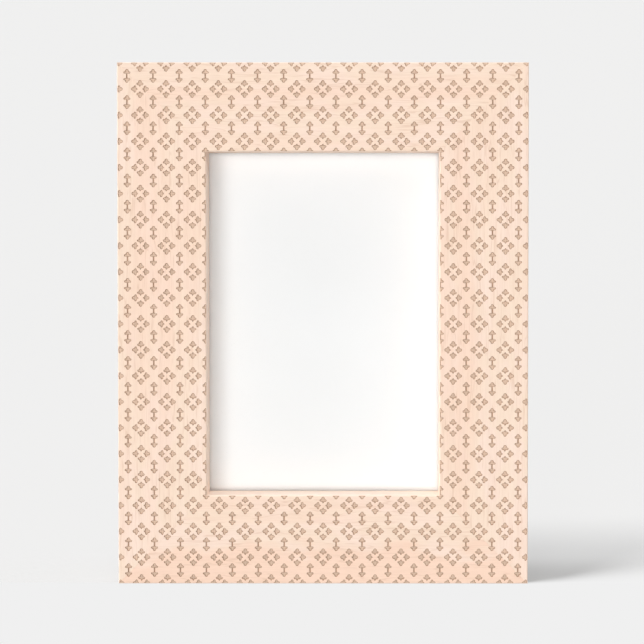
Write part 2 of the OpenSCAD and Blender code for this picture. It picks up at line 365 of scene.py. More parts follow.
def dust_group():
    """Mask of the faint dust that settles on faces that look up."""
    group, given, result = new_group(
        "Dust", "Shader", [("Amount", "Float", 0.3), ("Vector", "Vector")], [("Mask", "Float")]
    )
    ledge = remap(group, separated(group, facing(group))["Z"], 0.5, 1.0)
    specks = noise(group, given["Vector"], 420.0, 4.0, 0.65)
    mask = times(group, ledge, remap(group, specks, 0.3, 0.75))
    group.links.new(times(group, mask, given["Amount"]), result["Mask"])
    return group


def maple_group():
    """Fine wavy maple grain. Its vector runs along the grain in X, in metres."""
    group, given, result = new_group(
        "Maple Grain",
        "Shader",
        [
            ("Grain", "Vector"),
            ("Heartwood", "Float", 1.0),
            ("Base", "Color", (0.8, 0.6, 0.45, 1.0)),
            ("Streak", "Color", (0.6, 0.4, 0.3, 1.0)),
            ("Warm", "Color", (0.8, 0.5, 0.3, 1.0)),
            ("Pale", "Color", (0.9, 0.7, 0.6, 1.0)),
            ("Contrast", "Float", 1.0),
        ],
        [("Color", "Color"), ("Height", "Float"), ("Tone", "Float")],
    )
    grain = given["Grain"]
    slow = drawn_noise(group, grain, 24.0, 70.0, 1.0)
    waver = times(group, minus(group, slow, 0.5), 2.6 * MM)
    sideways = node(group, "ShaderNodeCombineXYZ", {"Y": waver, "Z": waver}).outputs[0]
    wavy = vector_node(group, "ADD", grain, sideways)

    def lines(along, across, detail=2.0):
        """Grain lines, from their scales along and across the grain."""
        return drawn_noise(group, wavy, along, across, detail, 0.6)

    fibre = remap(group, lines(90.0, 1900.0), 0.35, 0.7)
    streak = remap(group, lines(14.0, 380.0), 0.40, 0.66)
    band = remap(group, lines(6.0, 90.0), 0.40, 0.75, 0.0, 0.7)
    contour = math_node(group, "ABSOLUTE", minus(group, lines(30.0, 520.0, 1.0), 0.5))
    broken = remap(group, lines(70.0, 300.0, 1.0), 0.44, 0.56)
    hairline = times(group, remap(group, contour, 0.030, 0.008), broken)
    drawn = plus(group, times(group, fibre, 0.22), times(group, streak, 0.14))
    total = plus(group, drawn, times(group, hairline, 0.55))
    amount = math_node(group, "MULTIPLY", total, given["Contrast"], clamp=True)
    cloud = drawn_noise(group, grain, 45.0, 110.0)
    ragged = times(group, minus(group, cloud, 0.5), 30.0 * MM)
    heart = remap(group, plus(group, given["Heartwood"], ragged), *HEARTWOOD_FADE)
    warmth = math_node(group, "MAXIMUM", band, heart)
    patches = blend_colours(group, remap(group, cloud, 0.42, 0.62), given["Base"], given["Pale"])
    toned = blend_colours(group, warmth, patches, given["Warm"])
    coloured = blend_colours(group, amount, toned, given["Streak"])
    group.links.new(coloured, result["Color"])
    group.links.new(minus(group, 1.0, total), result["Height"])
    group.links.new(total, result["Tone"])
    return group


def metal_group():
    """Mottled plating with fine scratches."""
    group, given, result = new_group(
        "Plating",
        "Shader",
        [("Vector", "Vector"), ("Color", "Color", (0.6, 0.6, 0.6, 1.0)), ("Shine", "Float", 0.35)],
        [("Color", "Color"), ("Roughness", "Float"), ("Height", "Float")],
    )
    place, plain = given["Vector"], given["Color"]
    cells = {"Vector": place, "Scale": 650.0}
    spangle = node(group, "ShaderNodeTexVoronoi", cells, feature="SMOOTH_F1").outputs["Distance"]
    mottle = noise(group, place, 300.0, 3.0)
    scored = remap(group, drawn_noise(group, place, 300.0, 5200.0), 0.60, 0.74)
    dark = vector_node(group, "MULTIPLY", plain, PLATING_SHADE)
    toned = blend_colours(group, remap(group, mottle, 0.35, 0.75, 0.0, 0.55), plain, dark)
    toned = blend_colours(group, remap(group, spangle, 0.1, 0.6, 0.0, 0.25), toned, dark)
    rough = plus(group, given["Shine"], remap(group, mottle, 0.3, 0.7, -0.06, 0.12))
    group.links.new(toned, result["Color"])
    group.links.new(plus(group, rough, times(group, scored, 0.12)), result["Roughness"])
    group.links.new(minus(group, mottle, scored), result["Height"])
    return group


GROUP_MAKERS = {
    "Edge Wear": edge_wear_group,
    "Dust": dust_group,
    "Maple Grain": maple_group,
    "Plating": metal_group,
}

# The bottom rail's warm heartwood fades out between these heights above the bottom edge
HEARTWOOD_FADE = (18.5 * MM, 10.5 * MM)
GRAIN_CONTRAST = 0.6

# How the paper's cloudy patches and the plating's dull ones are toned down
PAPER_SHADE = (0.975, 0.972, 0.965)
PLATING_SHADE = (0.72, 0.71, 0.69)

GLASS_TINT = (0.997, 0.999, 0.998)
GLASS_IOR = 1.5

# Tones of rubbed edges and of dust
RUBBED_MAPLE = painted(226, 190, 160)
RUBBED_BOARD = painted(168, 128, 92)
RUBBED_ZINC = painted(226, 227, 230)
RUBBED_BRASS = painted(196, 190, 180)
DUST_ON_MAPLE = painted(226, 220, 212)
DUST_ON_BOARD = painted(190, 182, 172)
DUST_ON_METAL = painted(150, 146, 140)


def rubbed(tree, place, shown, radius, amount, tone):
    """A colour with the piece's edges rubbed to another tone."""
    inputs = {"Radius": radius, "Amount": amount, "Vector": place}
    return blend_colours(tree, use_group(tree, "Edge Wear", inputs)["Mask"], shown, tone)


def dusted(tree, place, shown, amount, tone):
    """A colour with dust laid on it, and the dust's mask."""
    mask = use_group(tree, "Dust", {"Amount": amount, "Vector": place})["Mask"]
    return blend_colours(tree, mask, shown, tone), mask


def grain_figure(tree, base, streak, warm, pale):
    """The maple grain, placed by the two attributes that each member carries."""
    inputs = {
        "Grain": node(tree, "ShaderNodeAttribute", attribute_name="grain").outputs["Vector"],
        "Heartwood": node(tree, "ShaderNodeAttribute", attribute_name="heartwood").outputs["Fac"],
        "Base": base,
        "Streak": streak,
        "Warm": warm,
        "Pale": pale,
        "Contrast": GRAIN_CONTRAST,
    }
    return use_group(tree, "Maple Grain", inputs)


def front_level(tree):
    """1 where a surface looks out square to the frame's face, and 0 on its edges."""
    outward = -(LEANING.to_3x3() @ Vector((0, 1, 0)))
    return agreement(tree, facing(tree), outward)


def maple_shader(tree):
    """Satin maple, paler on its edges as bare wood and as painted light on the opening's walls."""
    finish = settings("frame_finish")
    warm, pale = finish.maple_warm, finish.maple_pale
    finished = grain_figure(tree, finish.maple, finish.maple_streak, warm, pale)
    bare = grain_figure(tree, finish.maple_edge_painted_light, finish.maple, warm, pale)
    # The edges take a paler tone, partly bare wood and partly painted light that brightens the
    # opening's walls
    edge = remap(tree, math_node(tree, "ABSOLUTE", front_level(tree)), 0.9, 0.4)
    shown = blend_colours(tree, edge, finished["Color"], bare["Color"])
    place = place_on_piece(tree)
    worn = rubbed(tree, place, shown, 0.5 * MM, 0.25, RUBBED_MAPLE)
    toned = dusted(tree, place, worn, 0.18, DUST_ON_MAPLE)[0]
    rough = remap(tree, finished["Tone"], 0.0, 0.8, 0.50, 0.62)
    return surface(tree, toned, rough, bump(tree, finished["Height"], 0.02 * MM), 0.35)


def cut_maple_shader(tree):
    """Scorched wood inside the carving, darkest on its walls."""
    finish = settings("frame_finish")
    floor = finish.cut_floor
    figure = grain_figure(tree, floor, scaled(floor, 0.72), scaled(floor, 0.92), floor)
    wall = remap(tree, front_level(tree), 0.95, 0.7)
    char = noise(tree, place_on_piece(tree), 2600.0, 3.0)
    charred = times(tree, wall, remap(tree, char, 0.2, 0.7, 0.75, 1.0))
    toned = blend_colours(tree, charred, figure["Color"], finish.cut_wall)
    return surface(tree, toned, 0.8, bump(tree, char, 0.03 * MM), 0.2)


def glass_shader(tree):
    """Clear picture glass with faint smears, which lets lamplight pass straight through."""
    smear = noise(tree, place_on_piece(tree), 26.0, 3.0)
    inputs = {
        "Base Color": GLASS_TINT,
        "Metallic": 0.0,
        "Roughness": remap(tree, smear, 0.35, 0.75, 0.0, 0.03),
        "IOR": GLASS_IOR,
        "Transmission Weight": 1.0,
    }
    pane = node(tree, "ShaderNodeBsdfPrincipled", inputs).outputs[0]
    clear = node(tree, "ShaderNodeBsdfTransparent", {"Color": GLASS_TINT}).outputs[0]
    path = node(tree, "ShaderNodeLightPath").outputs
    lamplight = math_node(tree, "MAXIMUM", path["Is Shadow Ray"], path["Is Diffuse Ray"])
    return node(tree, "ShaderNodeMixShader", {0: lamplight, 1: pane, 2: clear}).outputs[0]


def paper_shader(tree):
    """Smooth white stock with a faint tooth."""
    paper = settings("frame_finish").paper
    place = place_on_piece(tree)
    tooth = noise(tree, place, 1800.0, 3.0)
    cloud = remap(tree, noise(tree, place, 22.0), 0.3, 0.8, 0.0, 0.6)
    toned = blend_colours(tree, cloud, paper, [c * f for c, f in zip(paper, PAPER_SHADE)])
    rough = remap(tree, tooth, 0.3, 0.7, 0.62, 0.74)
    return surface(tree, toned, rough, bump(tree, tooth, 0.01 * MM), 0.3)


def card_shader(tree):
    """Grey filler card with layered fibres."""
    card = settings("frame_finish").card
    place = place_on_piece(tree)
    ply = noise(tree, vector_node(tree, "MULTIPLY", place, (220.0, 5200.0, 220.0)), 1.0, 3.0)
    fibre = noise(tree, place, 1500.0, 4.0, 0.65)
    dark = scaled(card, 0.7)
    toned = blend_colours(tree, remap(tree, ply, 0.35, 0.7, 0.0, 0.6), card, dark)
    toned = blend_colours(tree, remap(tree, fibre, 0.5, 0.75, 0.0, 0.5), toned, dark)
    return surface(tree, toned, 0.85, bump(tree, fibre, 0.06 * MM), 0.2)


def hardboard_shader(tree):
    """Pressed brown fibreboard with rubbed edges."""
    finish = settings("frame_finish")
    place = place_on_piece(tree)
    cells = {"Vector": place, "Scale": 900.0, "Randomness": 1.0}
    matted = node(tree, "ShaderNodeTexVoronoi", cells).outputs["Distance"]
    fibre = noise(tree, place, 1400.0, 5.0, 0.7)
    long_fibre = remap(tree, noise(tree, place, 600.0), 0.58, 0.7)
    cloud = noise(tree, place, 32.0, 3.0)
    dark, light = finish.hardboard_dark, scaled(finish.hardboard, 1.35)
    toned = blend_colours(tree, remap(tree, fibre, 0.35, 0.7, 0.0, 0.75), finish.hardboard, dark)
    toned = blend_colours(tree, remap(tree, matted, 0.1, 0.7, 0.0, 0.25), toned, light)
    toned = blend_colours(tree, times(tree, long_fibre, 0.35), toned, light)
    toned = blend_colours(tree, remap(tree, cloud, 0.35, 0.75, 0.0, 0.3), toned, dark)
    toned = rubbed(tree, place, toned, 0.7 * MM, 0.55, RUBBED_BOARD)
    toned = dusted(tree, place, toned, 0.35, DUST_ON_BOARD)[0]
    rough = remap(tree, fibre, 0.3, 0.7, 0.5, 0.68)
    return surface(tree, toned, rough, bump(tree, fibre, 0.05 * MM), 0.35)


def metal_shader(tree, tint, shine, bare):
    """Plated steel, brighter where its edges are rubbed and duller under dust."""
    place = place_on_piece(tree)
    plating = use_group(tree, "Plating", {"Vector": place, "Color": tint, "Shine": shine})
    worn = rubbed(tree, place, plating["Color"], 0.3 * MM, 0.7, bare)
    toned, dust = dusted(tree, place, worn, 0.25, DUST_ON_METAL)
    rough = plus(tree, times(tree, dust, 0.4), plating["Roughness"])
    return surface(tree, toned, rough, bump(tree, plating["Height"], 0.01 * MM), metallic=1.0)


def zinc_shader(tree):
    """Zinc plate of the small hardware."""
    return metal_shader(tree, settings("frame_finish").zinc, 0.34, RUBBED_ZINC)


def brass_shader(tree):
    """Brass plate of the strut hinge."""
    return metal_shader(tree, settings("frame_finish").brass, 0.27, RUBBED_BRASS)


# The table's own tint, how much light it takes, and the light of lamps and room that reaches it
TABLE_TINT = (1.0, 0.995, 0.985)
TABLE_MATT = 0.145
LIGHT_ON_TABLE = 1.0

# How far behind the frame's front edge the table takes all its shadow, and how much earlier it
# begins. Its edge grows softer with each metre out to the side
SHADOW_START = 8.5 * MM
SHADOW_EARLY = 1.5 * MM
SHADOW_EDGE = 2.0 * MM
SHADOW_SPREAD = 0.36
# Between these two depths behind that, the shadow fades to a share of its strength
SHADOW_FADE = (6.0 * MM, 26.0 * MM)
SHADOW_FAR = 0.58


def seen_ray(tree):
    """1 for what the camera, metal and glass see, and 0 for light that falls on a surface."""
    path = node(tree, "ShaderNodeLightPath").outputs
    seen = math_node(tree, "MAXIMUM", path["Is Camera Ray"], path["Is Glossy Ray"])
    return math_node(tree, "MAXIMUM", seen, path["Is Transmission Ray"])


def shadow_share(tree):
    """How much of the frame's shadow each place on the table takes, from 0 to 1."""
    spot = separated(tree, node(tree, "ShaderNodeTexCoord").outputs["Object"])
    front = (LEANING @ OUTER_LOW).y + SHADOW_START
    past = math_node(tree, "MAXIMUM", minus(tree, spot["X"], OUTER_W / 2), 0.0)
    softness = plus(tree, times(tree, past, SHADOW_SPREAD), SHADOW_EDGE)
    behind = math_node(tree, "DIVIDE", minus(tree, spot["Y"], front - SHADOW_EARLY), softness)
    near, far = SHADOW_FADE
    fading = remap(tree, spot["Y"], front + near, front + far, 1.0, SHADOW_FAR)
    return times(tree, remap(tree, behind, 0.0, 1.0), fading)


def table_shader(tree):
    """The pale table's soft glow, and the frame's shadow on it behind the frame's front edge."""
    studio = settings("frame_studio")
    shaded = shadow_share(tree)
    lamplight = studio.shadow + studio.contact + TABLE_MATT * LIGHT_ON_TABLE
    glow = [c - lamplight for c in studio.backdrop]
    matt = blend_colours(tree, shaded, (0.0, 0.0, 0.0), scaled(TABLE_TINT, TABLE_MATT))
    tone = blend_colours(tree, shaded, studio.backdrop, glow)
    lit = node(tree, "ShaderNodeBsdfDiffuse", {"Color": matt}).outputs[0]
    glowing = node(tree, "ShaderNodeEmission", {"Color": tone, "Strength": 1.0}).outputs[0]
    both = node(tree, "ShaderNodeAddShader", {0: lit, 1: glowing}).outputs[0]
    thrown = {"Color": scaled(studio.backdrop, studio.bounce), "Strength": 1.0}
    plain = node(tree, "ShaderNodeEmission", thrown).outputs[0]
    return node(tree, "ShaderNodeMixShader", {0: seen_ray(tree), 1: plain, 2: both}).outputs[0]


SHADERS = {
    "satin_maple": maple_shader,
    "maple_cut": cut_maple_shader,
    "clear_glass": glass_shader,
    "sheet_paper": paper_shader,
    "filler_card": card_shader,
    "pressed_board": hardboard_shader,
    "zinc_plate": zinc_shader,
    "brass_plate": brass_shader,
    "table_top": table_shader,
}


def finish_named(name):
    """A material, built the first time it is asked for. No CAD material has one of these names."""
    made = bpy.data.materials.get(name)
    if made is None:
        made = bpy.data.materials.new(name)
        made.use_nodes = True
        tree = made.node_tree
        tree.nodes.clear()
        node(tree, "ShaderNodeOutputMaterial", {"Surface": SHADERS[name](tree)})
    return made


def merged_copy(node_name, whole_faces=True):
    """Bmesh of a CAD node with its loose triangles joined, and its flat faces made whole."""
    shell = bmesh.new()
    shell.from_mesh(frame["nodes"][node_name].data)
    bmesh.ops.remove_doubles(shell, verts=shell.verts, dist=JOIN_WITHIN)
    if whole_faces:
        flat = math.radians(1)
        bmesh.ops.dissolve_limit(shell, angle_limit=flat, verts=shell.verts, edges=shell.edges)
    return shell


def new_object(name, data):
    """An object at the origin, in the scene, from a mesh, lamp or camera."""
    made = bpy.data.objects.new(name, data)
    bpy.context.scene.collection.objects.link(made)
    return made


def object_from(shell, name):
    """An object from a bmesh, which is freed."""
    mesh = bpy.data.meshes.new(name)
    shell.to_mesh(mesh)
    shell.free()
    return new_object(name, mesh)


def baked(source, name):
    """A plain mesh object with the source's modifiers applied. The source is removed."""
    view = bpy.context.evaluated_depsgraph_get()
    mesh = bpy.data.meshes.new_from_object(source.evaluated_get(view), depsgraph=view)
    mesh.name = name
    bpy.data.objects.remove(source)
    return new_object(name, mesh)


def seat(piece, node_name):
    """Lets a finished piece stand for its CAD node and move with its body."""
    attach(piece, frame["nodes"][node_name]["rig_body"])
    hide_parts(node_name)


def single_finish(piece, material):
    """Gives a piece one material."""
    piece.data.materials.clear()
    piece.data.materials.append(finish_named(material))


def eased_piece(node_name, name, radius, material):
    """Adds a CAD node's shape with its edges eased and its flats shaded flat, as a new piece."""
    rough_piece = object_from(merged_copy(node_name), name)
    rough_piece.data.shade_smooth()
    soften = rough_piece.modifiers.new("Eased edges", "BEVEL")
    soften.width = radius
    soften.segments = 2
    soften.limit_method = "ANGLE"
    soften.angle_limit = math.radians(40)
    soften.use_clamp_overlap = True
    rough_piece.modifiers.new("Flat faces", "WEIGHTED_NORMAL")
    piece = baked(rough_piece, name)
    single_finish(piece, material)
    seat(piece, node_name)


# The pattern's sizes are shares of its pitch. A petal and a trefoil's head are each the union of
# round cuts, which are given by their middle's X and Z and their radius
PETAL = (
    (0.268, 0.000, 0.068),
    (0.197, 0.079, 0.054),
    (0.197, -0.079, 0.054),
    (0.205, 0.000, 0.070),
    (0.160, 0.000, 0.040),
    (0.122, 0.000, 0.036),
)
PETAL_MIDDLE = (0.2, 0.0)
PETAL_STEPS = 32
HEAD = (
    (0.000, 0.192, 0.067),
    (0.079, 0.128, 0.055),
    (-0.079, 0.128, 0.055),
    (0.000, 0.135, 0.062),
)
HEAD_MIDDLE = (0.0, 0.15)
HEAD_STEPS = 26
STEM_HALF = 0.027
THINNEST_STEM = 0.002
# How far past a member's edge a motif's middle may lie
MOTIF_REACH = 0.4
# A line this far beside a rosette's middle runs between its petals and the next trefoils
CLEAR_LINE = 0.352
# How far a cutter stands out of the face, as a share of the pattern's depth
CUTTER_PROUD = 0.4


def ray_exit(start, heading, circle):
    """How far a ray runs to leave a circle, or 0 if it misses it."""
    x, z, radius = circle
    away = Vector((start[0] - x, start[1] - z))
    along = away.dot(heading)
    under = along * along - away.length_squared + radius * radius
    return max(0.0, math.sqrt(under) - along) if radius > 0 and under > 0 else 0.0


def lobed_outline(circles, centre, angles, inset):
    """Points where rays from a centre leave the union of circles, each shrunk by inset."""
    small = [(x, z, radius - inset) for x, z, radius in circles]
    points = []
    for angle in angles:
        heading = Vector((math.cos(angle), math.sin(angle)))
        reach = max(ray_exit(centre, heading, c) for c in small)
        points.append(Vector(centre) + reach * heading)
    return points


def petal_outline(pitch, inset):
    """One petal of the rosette, pointing along X from the rosette's middle."""
    angles = [2 * math.pi * step / PETAL_STEPS for step in range(PETAL_STEPS)]
    return [pitch * p for p in lobed_outline(PETAL, PETAL_MIDDLE, angles, inset / pitch)]


def stem_join(inset):
    """Where the stem's right side meets the head."""
    half = max(STEM_HALF - inset, THINNEST_STEM)
    lowest = []
    for x, z, radius in HEAD:
        under = (radius - inset) ** 2 - (x - half) ** 2
        if under > 0:
            lowest.append(z - math.sqrt(under))
    return Vector((half, min(lowest)))


def double_trefoil_outline(pitch, inset):
    """Two trefoil heads joined by a stem, one up and one down."""
    cut = inset / pitch
    join = stem_join(cut)
    start = math.atan2(join.y - HEAD_MIDDLE[1], join.x)
    sweep = 2 * (math.pi / 2 - start)
    inner = [start + sweep * step / HEAD_STEPS for step in range(1, HEAD_STEPS)]
    upper = [join, *lobed_outline(HEAD, HEAD_MIDDLE, inner, cut), Vector((-join.x, join.y))]
    return [pitch * p for p in (*upper, *(-p for p in upper))]


def add_cutter(shell, rim, floor, proud, depth):
    """A closed tapered plug that cuts one recess with sloping walls."""
    rings = []
    for outline, level in ((rim, -proud), (floor, depth)):
        rings.append([shell.verts.new((p[0], level, p[1])) for p in outline])
    count = len(rim)
    for i in range(count):
        j = (i + 1) % count
        shell.faces.new((rings[0][i], rings[0][j], rings[1][j], rings[1][i]))
    shell.faces.new(list(reversed(rings[0])))
    shell.faces.new(rings[1])


def motif_object(name, outlines, proud, depth):
    """An object that holds the cutters of one motif, round the motif's middle."""
    shell = bmesh.new()
    for rim, floor in outlines:
        add_cutter(shell, rim, floor, proud, depth)
    bmesh.ops.recalc_face_normals(shell, faces=shell.faces)
    made = object_from(shell, name)
    carved = made.data.attributes.new("carved", "BOOLEAN", "FACE")
    carved.data.foreach_set("value", [True] * len(made.data.polygons))
    return made


def motif_cutters(pitch, draft, depth):
    """The cutters of the rosette, which is four petals, and of the double trefoil."""
    proud = CUTTER_PROUD * depth
    flare = -draft * proud / depth
    rim, floor = petal_outline(pitch, flare), petal_outline(pitch, draft)
    petals = []
    for quarter in range(4):
        turn = Matrix.Rotation(quarter * math.pi / 2, 2)
        petals.append(([turn @ p for p in rim], [turn @ p for p in floor]))
    heads = [(double_trefoil_outline(pitch, flare), double_trefoil_outline(pitch, draft))]
    return (
        motif_object("rosette_cutter", petals, proud, depth),
        motif_object("trefoil_cutter", heads, proud, depth),
    )


def carving_tree():
    """Geometry Nodes that cut a lattice of two motifs into a member's front face."""
    tree, given, result = new_group(
        "Diaper Carving",
        "Geometry",
        [
            ("Geometry", "Geometry"),
            ("Rosette", "Object"),
            ("Trefoil", "Object"),
            ("Pitch", "Float"),
            ("Columns", "Int"),
            ("Rows", "Int"),
            ("Area Middle", "Vector"),
            ("Area Reach", "Vector"),
            ("Face Middle", "Vector"),
            ("Face Turn", "Vector"),
            ("Wood", "Material"),
            ("Cut Wood", "Material"),
        ],
        [("Geometry", "Geometry")],
    )

    def shape(kind, inputs, **options):
        """First output of a Geometry node."""
        return node(tree, "GeometryNode" + kind, inputs, **options).outputs[0]

    def motifs(source, half_step):
        """Instances of one motif on the points of the lattice that fall on the member."""
        sizes = {
            "Size X": times(tree, given["Columns"], given["Pitch"]),
            "Size Y": times(tree, given["Rows"], given["Pitch"]),
            "Vertices X": plus(tree, given["Columns"], 1.0),
            "Vertices Y": plus(tree, given["Rows"], 1.0),
        }
        step = times(tree, given["Pitch"], half_step)
        stand = {
            "Geometry": shape("MeshGrid", sizes),
            "Translation": node(tree, "ShaderNodeCombineXYZ", {"X": step, "Z": step}).outputs[0],
            "Rotation": (math.pi / 2, 0.0, 0.0),
        }
        lattice = shape("Transform", stand)
        offset = vector_node(tree, "SUBTRACT", shape("InputPosition", {}), given["Area Middle"])
        away = vector_node(tree, "ABSOLUTE", offset)
        past = separated(tree, vector_node(tree, "SUBTRACT", away, given["Area Reach"]))
        worst = math_node(tree, "MAXIMUM", past["X"], past["Z"])
        outside = math_node(tree, "GREATER_THAN", worst, 0.0)
        unwanted = {"Geometry": lattice, "Selection": outside}
        kept = shape("DeleteGeometry", unwanted, domain="POINT")
        motif = node(tree, "GeometryNodeObjectInfo", {"Object": source}).outputs["Geometry"]
        return shape("InstanceOnPoints", {"Points": kept, "Instance": motif})

    joined = tree.nodes.new("GeometryNodeJoinGeometry")
    tree.links.new(motifs(given["Rosette"], 0.0), joined.inputs[0])
    tree.links.new(motifs(given["Trefoil"], 0.5), joined.inputs[0])
    lean = {
        "Geometry": joined.outputs[0],
        "Translation": given["Face Middle"],
        "Rotation": given["Face Turn"],
    }
    cutters = shape("RealizeInstances", {"Geometry": shape("Transform", lean)})
    parts = {"Mesh 1": given["Geometry"], "Mesh 2": cutters}
    carved = shape("MeshBoolean", parts, operation="DIFFERENCE", solver="MANIFOLD")
    plain = shape("RealizeInstances", {"Geometry": carved})
    wooden = shape("SetMaterial", {"Geometry": plain, "Material": given["Wood"]})
    recess = shape("InputNamedAttribute", {"Name": "carved"}, data_type="BOOLEAN")
    cuts = {"Geometry": wooden, "Selection": recess, "Material": given["Cut Wood"]}
    tree.links.new(shape("SetMaterial", cuts), result[0])
    return tree


def set_input(modifier, label, value):
    """Sets a Geometry Nodes input by the identifier of its socket."""
    for item in modifier.node_group.interface.items_tree:
        if item.item_type == "SOCKET" and item.in_out == "INPUT" and item.name == label:
            modifier[item.identifier] = value
            return
    raise ValueError(f"the tree has no input {label}")


def on_front(face):
    """True for a face that lies in the front face of the frame."""
    return all((UPRIGHT @ v.co).y < OUTER_LOW.y + LEVEL_WITHIN for v in face.verts)


def bevel_mitres(shell, width):
    """Takes a hair off the front edge of each mitre, so that the joint reads as a line."""
    shortest = 10 * MM
    chosen = []
    for edge in shell.edges:
        run = UPRIGHT.to_3x3() @ (edge.verts[1].co - edge.verts[0].co)
        slanted = abs(abs(run.x) - abs(run.z)) < LEVEL_WITHIN and abs(run.x) > shortest
        if slanted and any(on_front(face) for face in edge.link_faces):
            chosen.append(edge)
    if width > 0:
        bmesh.ops.bevel(
            shell, geom=chosen, offset=width, offset_type="OFFSET", segments=1, affect="EDGES"
        )


def score_front(shell, pitch):
    """Splits the front face on a grid, so that no flat face holds more than one rosette."""
    reach = math.ceil(OUTER_H / pitch / 2) + 1
    lines = []
    for step in range(-reach, reach + 1):
        lines.extend((Vector((step + side * CLEAR_LINE, 0, 0)), ACROSS) for side in (-1, 1))
        lines.append((Vector((0, 0, step + 0.5)), Vector((0, 0, 1))))
    for place, normal in lines:
        faces = [face for face in shell.faces if on_front(face)]
        edges = {edge for face in faces for edge in face.edges}
        corners = {corner for face in faces for corner in face.verts}
        bmesh.ops.bisect_plane(
            shell,
            geom=[*faces, *edges, *corners],
            plane_co=LEANING @ (MIDDLE + pitch * place),
            plane_no=LEANING.to_3x3() @ normal,
            dist=CUT_WITHIN,
        )


def member_blank(node_name, pitch):
    """An uncarved member with its front face made ready for the cutters."""
    shell = merged_copy(node_name, whole_faces=False)
    bmesh.ops.dissolve_faces(shell, faces=[face for face in shell.faces if on_front(face)])
    bevel_mitres(shell, settings("frame_carving").mitre_line)
    score_front(shell, pitch)
    return object_from(shell, node_name + "_blank")


# How much further on each member's grain starts, in metres, so that no two look the same
GRAIN_ALONG, GRAIN_THROUGH, GRAIN_ACROSS = 1.7, 0.31, 0.53
NO_HEARTWOOD = 1.0


def write_grain(piece, node_name, seed):
    """Stores where each corner lies along, through and across the member's own grain.

    The heartwood attribute is the height above the frame's bottom edge, on the bottom rail alone.
    """
    along_x = node_name.endswith("rail")
    values = []
    heights = []
    for vertex in piece.data.vertices:
        own = UPRIGHT @ vertex.co - MIDDLE
        run, across = (own.x, own.z) if along_x else (own.z, own.x)
        values.append(run + seed * GRAIN_ALONG)
        values.append(own.y + seed * GRAIN_THROUGH)
        values.append(across + seed * GRAIN_ACROSS)
        heights.append(own.z + OUTER_H / 2 if node_name == "bottom_rail" else NO_HEARTWOOD)
    grain = piece.data.attributes.new("grain", "FLOAT_VECTOR", "POINT")
    grain.data.foreach_set("vector", values)
    heart = piece.data.attributes.new("heartwood", "FLOAT", "POINT")
    heart.data.foreach_set("value", heights)


def keep_two_woods(piece):
    """Leaves the wood and the cut wood as the only material slots, in that order."""
    old = [material.name if material else "" for material in piece.data.materials]
    kept = ["satin_maple", "maple_cut"]
    places = [kept.index(old[face.material_index]) for face in piece.data.polygons]
    piece.data.materials.clear()
    for name in kept:
        piece.data.materials.append(finish_named(name))
    piece.data.polygons.foreach_set("material_index", places)


def carve_member(node_name, tree, cutters, seed):
    """Adds one member with the pattern cut into its front face."""
    pitch = settings("frame_carving").pitch
    blank = member_blank(node_name, pitch)
    low, high = own_box(node_name)
    modifier = blank.modifiers.new("Carving", "NODES")
    modifier.node_group = tree
    values = {
        "Rosette": cutters[0],
        "Trefoil": cutters[1],
        "Pitch": pitch,
        "Columns": 2 * math.ceil(OUTER_W / pitch / 2) + 2,
        "Rows": 2 * math.ceil(OUTER_H / pitch / 2) + 2,
        "Area Middle": (low + high) / 2 - MIDDLE,
        "Area Reach": (high - low) / 2 + Vector((1, 0, 1)) * MOTIF_REACH * pitch,
        "Face Middle": LEANING @ FACE_MIDDLE,
        "Face Turn": Vector(LEANING.to_euler("XYZ")),
        "Wood": finish_named("satin_maple"),
        "Cut Wood": finish_named("maple_cut"),
    }
    for label, value in values.items():
        set_input(modifier, label, value)
    blank.update_tag()
    piece = baked(blank, node_name + "_carved")
    keep_two_woods(piece)
    write_grain(piece, node_name, seed)
    seat(piece, node_name)


class CarvedMembers(bpy.types.Operator):
    """Adds the two rails and two stiles, mitred and carved"""

    bl_idname = "frame_maker.members"
    bl_label = "Carved members"

    def execute(self, context):
        carving = settings("frame_carving")
        cutters = motif_cutters(carving.pitch, carving.draft, carving.depth)
        tree = carving_tree()
        for seed, name in enumerate(MEMBERS, 1):
            carve_member(name, tree, cutters, seed)
        for cutter in cutters:
            bpy.data.objects.remove(cutter)
        return {"FINISHED"}


def pane_piece(node_name, name, shrink, ease, material):
    """Adds a flat pane a hair smaller than its CAD solid, so that it never shares a face."""
    low, high = own_box(node_name)
    inner_low = low + Vector((shrink, shrink, shrink))
    inner_high = high - Vector((shrink, shrink, shrink))
    size = inner_high - inner_low
    middle = (inner_low + inner_high) / 2
    shell = bmesh.new()
    bmesh.ops.create_cube(shell, size=1.0)
    for vertex in shell.verts:
        vertex.co = LEANING @ (middle + Vector(a * b for a, b in zip(vertex.co, size)))
    bmesh.ops.bevel(
        shell, geom=list(shell.edges), offset=ease, segments=2, affect="EDGES", profile=0.5
    )
    piece = object_from(shell, name)
    piece.data.shade_flat()
    single_finish(piece, material)
    seat(piece, node_name)


class Glazing(bpy.types.Operator):
    """Adds the sheet of glass with its ground edges"""

    bl_idname = "frame_maker.glazing"
    bl_label = "Glass"

    def execute(self, context):
        pane_piece("glazing", "glass_pane", 0.03 * MM, 0.25 * MM, "clear_glass")
        return {"FINISHED"}


class PictureSheet(bpy.types.Operator):
    """Adds the blank white sheet behind the glass"""

    bl_idname = "frame_maker.sheet"
    bl_label = "Picture sheet"

    def execute(self, context):
        pane_piece("picture_sheet", "blank_sheet", 0.02 * MM, 0.05 * MM, "sheet_paper")
        return {"FINISHED"}


class FillerBoard(bpy.types.Operator):
    """Adds the grey card that fills the rebate"""

    bl_idname = "frame_maker.filler"
    bl_label = "Filler board"

    def execute(self, context):
        pane_piece("filler_board", "filler_card", 0.03 * MM, 0.15 * MM, "filler_card")
        return {"FINISHED"}


